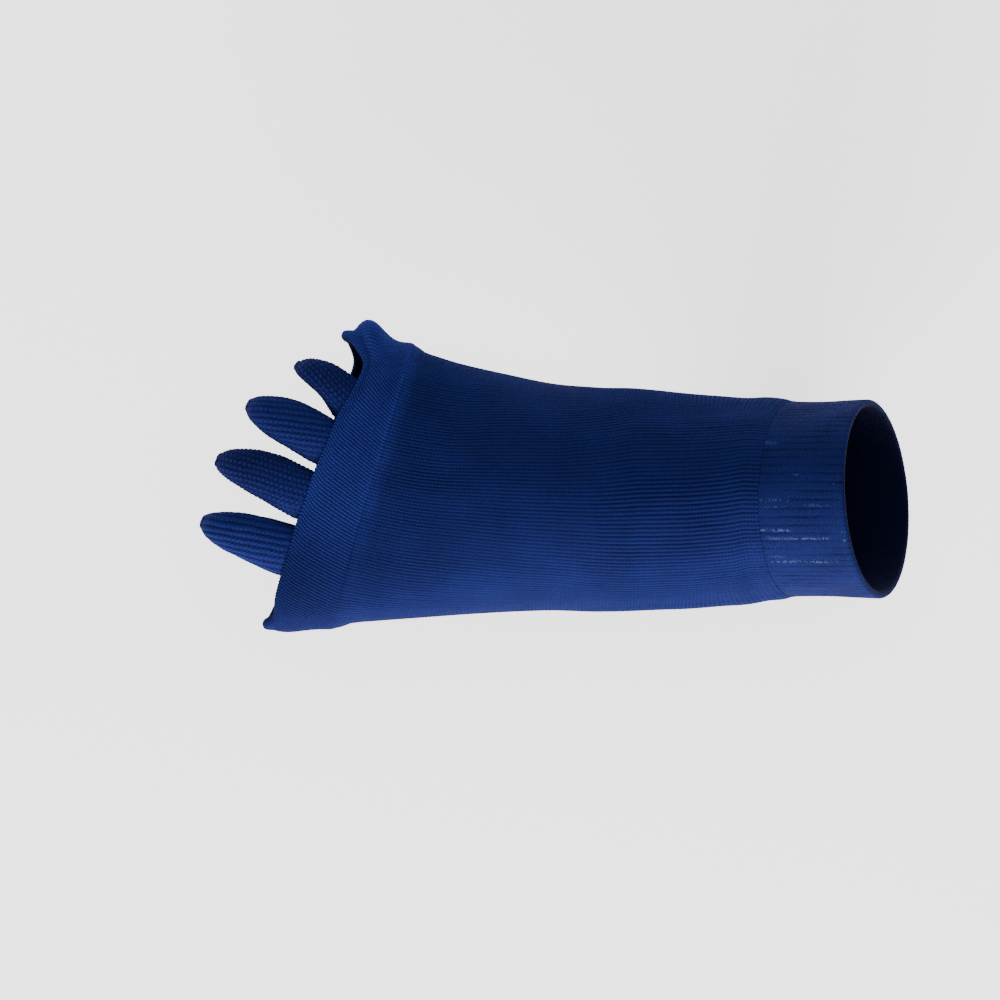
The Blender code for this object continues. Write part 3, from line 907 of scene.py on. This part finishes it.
def wedge_corner(separator, row, corner, top_lip, sole_lip):
    """A corner of one section of a wedge, as the model has it, with its root on the band's lip."""
    across, up, pinch = corner
    width = separator.width * SEPARATOR_WIDTH
    heading = math.radians(separator.heading)
    ahead = Vector((-math.cos(heading), math.sin(heading), 0))
    aside = Vector((math.sin(heading), math.cos(heading), 0))
    fullness = blend(1, separator.little if across > 0 else separator.big, min(2 * row.along, 1))
    half_width = (row.little if across > 0 else row.big) * fullness * width * abs(across)
    half_width = blend(half_width, SEPARATOR_WAIST / 2, pinch * (1 - row.waist))
    middle_y = (TOE_LINE.aside + separator.place / 2) * BALL_WIDTH
    middle_x = np.interp(middle_y, top_lip[:, 0], top_lip[:, 1])
    root = Vector((middle_x, middle_y, 0)) + aside * math.copysign(half_width, across)
    top_x, top_z = (np.interp(root.y, top_lip[:, 0], top_lip[:, column]) for column in (1, 2))
    sole_x, sole_z = (np.interp(root.y, sole_lip[:, 0], sole_lip[:, column]) for column in (1, 2))
    lip_x = blend(sole_x, top_x, (1 + up) / 2) - JOIN
    point = root + ahead * (row.along * separator.length * SEPARATOR_LENGTH)
    point.x += (lip_x - root.x) * (1 - row.along) ** 2
    point.z = (top_z + sole_z) / 2 + up * row.height * (top_z - sole_z) / 2
    return point


def spline(points, places):
    """Points of an even cubic spline over a row of control points, which it doesn't quite reach."""
    start = np.clip(np.floor(places), 0, len(points) - 4).astype(int)
    share = (places - start).reshape(-1, *([1] * (points.ndim - 1)))
    weights = (
        (1 - share) ** 3,
        3 * share**3 - 6 * share**2 + 4,
        -3 * share**3 + 3 * share**2 + 3 * share + 1,
        share**3,
    )
    return sum(weight * points[start + index] for index, weight in enumerate(weights)) / 6


TIP_STEPS = (22, 42, 60, 75, 86)
TIP_REACH = 1.3 * MM
TIP_CUT = 0.08


def wedge_points(separator, row_count, columns):
    """The skin of a wedge, root to tip, with its first column under the sole and a rounded tip."""
    top_lip, sole_lip = lip_line(15, 165), lip_line(195, 345)
    net = np.array(
        [[wedge_corner(separator, row, corner, top_lip, sole_lip) for corner in WEDGE_RING] for row in WEDGE_ROWS]
    )
    net = np.roll(net, len(WEDGE_RING) // 2, axis=1)
    long_net = np.concatenate((2 * net[:1] - net[1:2], net, 2 * net[-1:] - net[-2:-1]))
    rows = spline(long_net, np.linspace(0, len(net) - 1 - TIP_CUT, row_count))
    ring_net = np.moveaxis(np.concatenate((rows[:, -1:], rows, rows[:, :2]), axis=1), 1, 0)
    places = np.arange(columns) * net.shape[1] / columns
    skin_rows = np.moveaxis(spline(ring_net, places), 0, 1)
    last = skin_rows[-1]
    middle = last.mean(axis=0)
    heading = math.radians(separator.heading)
    ahead = np.array((-math.cos(heading), math.sin(heading), 0)) * TIP_REACH
    tip = [
        middle + (last - middle) * math.cos(math.radians(step)) + ahead * math.sin(math.radians(step))
        for step in TIP_STEPS
    ]
    return np.concatenate((skin_rows, np.array(tip)))


class Stitch(NamedTuple):
    """A wedge's pattern: rib spacing, bump spacing along a rib, share of bumps, and the ribs' slope to the side."""

    rib: float
    bump: float
    bumpy: float
    slope: float


WEDGE_STITCHES = (
    Stitch(2.15 * MM, 1.5 * MM, 0.15, 0.16),
    Stitch(1.75 * MM, 1.6 * MM, 0.75, 0.10),
    Stitch(1.95 * MM, 1.7 * MM, 0.30, 0.34),
    Stitch(1.55 * MM, 1.65 * MM, 0.60, -0.30),
)
WEDGE_ROW_COUNT = 84
WEDGE_COLUMNS = 288


class SOCK_OT_separators(Operator):
    """Knits the padded wedges that keep the toes apart"""

    bl_idname = "toe_sock.separators"
    bl_label = "Toe separators"

    def execute(self, context):
        sizes = context.scene.toe_sock_sizes
        material = cotton_knit("Padded cotton purl knit", 0.2 * MM, 0.45)
        for index, (separator, stitch) in enumerate(zip(SEPARATORS, WEDGE_STITCHES)):
            points = wedge_points(separator, WEDGE_ROW_COUNT, WEDGE_COLUMNS)
            step = np.linalg.norm(np.diff(points, axis=1), axis=2)
            around = np.concatenate((np.zeros((len(points), 1)), np.cumsum(step, axis=1)), axis=1)
            around = around - around[:, WEDGE_COLUMNS // 2:WEDGE_COLUMNS // 2 + 1]
            run = np.linalg.norm(np.diff(points, axis=0), axis=2).mean(axis=1)
            along = np.concatenate(([0.0], np.cumsum(run)))[:, None]
            rib = (around + stitch.slope * along) / stitch.rib
            rib = rib + 0.12 * wander(rib * 0.9, along / (3 * MM), index)
            bump = along / stitch.bump + 0.5 * (np.floor(rib) % 2) + 0.15 * wander(rib, along / (2 * MM), index + 4)
            dots = 0.5 + 0.5 * np.sin(2 * math.pi * bump)
            height = wale_height(rib) * (1 - stitch.bumpy * (1 - dots))
            fade = (1 - ramp(along, along[-6, 0], along[-1, 0])) * ramp(along, 0, 1.2 * MM)
            relief = (height - 0.35) * sizes.wedge_relief * fade
            relief = relief + 0.25 * MM * wander(around / (6 * MM), along / (6 * MM), index + 9) * fade
            courses = np.append(along[:, 0], along[-1, 0]) / stitch.bump
            piece = knit_piece(
                f"separator_{index + 1}_knit", points, relief, (rib, courses), material, closed_along=False,
                tints={"relief": height, "inner": 0.0, "elastic": 0.0, "pale": 1.3},
            )
            finish_piece(piece, "separator_knit", f"toe_separator_{index + 1}")
        return {"FINISHED"}


# The view is straight down on the foot, with the toes to the left
VIEW_CENTRE = (-0.0195, -0.000325)
VIEW_HEIGHT = 1.125
VIEW_LENS = 121.85
FLOOR_CLEARANCE = 6 * MM
FLOOR_SIZE = 24.0
BOARD_GLOW = 1.6


def soft_light(name, place, target, size, power, colour):
    lamp = bpy.data.lights.new(name, "AREA")
    lamp.shape = "DISK"
    lamp.size = size
    lamp.energy = power
    lamp.color = srgb(colour)
    light = bpy.data.objects.new(name, lamp)
    bpy.context.scene.collection.objects.link(light)
    light.location = place
    light.rotation_euler = (Vector(target) - Vector(place)).to_track_quat("-Z", "Y").to_euler()


def painted_board():
    """Matte white paint, rolled on and lit from behind: even and pale, with no gloss."""
    material = bpy.data.materials.new("Matte white paint")
    material.use_nodes = True
    shader = material.node_tree.nodes["Principled BSDF"]
    shader.inputs["Base Color"].default_value = (*bpy.context.scene.toe_sock_colours.floor, 1)
    shader.inputs["Roughness"].default_value = 0.9
    shader.inputs["Specular IOR Level"].default_value = 0.1
    shader.inputs["Emission Color"].default_value = (1, 1, 1, 1)
    shader.inputs["Emission Strength"].default_value = BOARD_GLOW
    return material


class SOCK_OT_stage(Operator):
    """Sets the pale floor, the soft studio light and the camera"""

    bl_idname = "toe_sock.stage"
    bl_label = "Studio"

    def execute(self, context):
        scene = context.scene
        low = min(CAD_BOX[0].z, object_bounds()[0].z)
        bpy.ops.mesh.primitive_plane_add(size=FLOOR_SIZE, location=(0, 0, low - FLOOR_CLEARANCE))
        floor = context.object
        floor.name = "studio_floor"
        floor.data.materials.append(painted_board())
        floor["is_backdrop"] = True
        target = (0, 0, 0.01)
        soft_light("Key light", (-0.25, -1.30, 0.42), target, 0.8, 44, "#fff8f0")
        soft_light("Top light", (0.1, 0.2, 1.9), target, 1.6, 17, "#f4f8ff")
        world = bpy.data.worlds.new("Studio air")
        world.use_nodes = True
        air = world.node_tree.nodes["Background"]
        air.inputs["Color"].default_value = (*srgb("#eef2f8"), 1)
        air.inputs["Strength"].default_value = 0.5
        scene.world = world
        camera = bpy.data.objects.new("Camera", bpy.data.cameras.new("Camera"))
        scene.collection.objects.link(camera)
        camera.location = (*VIEW_CENTRE, VIEW_HEIGHT)
        camera.data.lens = VIEW_LENS
        camera.data.clip_start = 0.01
        camera.data.clip_end = 20
        scene.camera = camera
        return {"FINISHED"}


class SOCK_PT_panel(Panel):
    """Lists the pieces of the sock and its studio"""

    bl_idname = "SOCK_PT_panel"
    bl_label = "Toe sock"
    bl_space_type = "VIEW_3D"
    bl_region_type = "UI"
    bl_category = "Toe sock"

    def draw(self, context):
        for group in (context.scene.toe_sock_sizes, context.scene.toe_sock_colours):
            for key in group.__annotations__:
                self.layout.prop(group, key)
        for operator in PIECES:
            self.layout.operator(operator.bl_idname)


PIECES = (SOCK_OT_foot, SOCK_OT_cuff, SOCK_OT_band, SOCK_OT_separators, SOCK_OT_stage)
CLASSES = (SockColours, SockSizes, *PIECES, SOCK_PT_panel)


def register():
    for kind in CLASSES:
        bpy.utils.register_class(kind)
    bpy.types.Scene.toe_sock_colours = PointerProperty(type=SockColours)
    bpy.types.Scene.toe_sock_sizes = PointerProperty(type=SockSizes)


def unregister():
    del bpy.types.Scene.toe_sock_sizes
    del bpy.types.Scene.toe_sock_colours
    for kind in reversed(CLASSES):
        bpy.utils.unregister_class(kind)


def main():
    register()
    bpy.ops.toe_sock.foot()
    bpy.ops.toe_sock.cuff()
    bpy.ops.toe_sock.band()
    bpy.ops.toe_sock.separators()
    bpy.ops.toe_sock.stage()


if __name__ == "__main__":
    main()
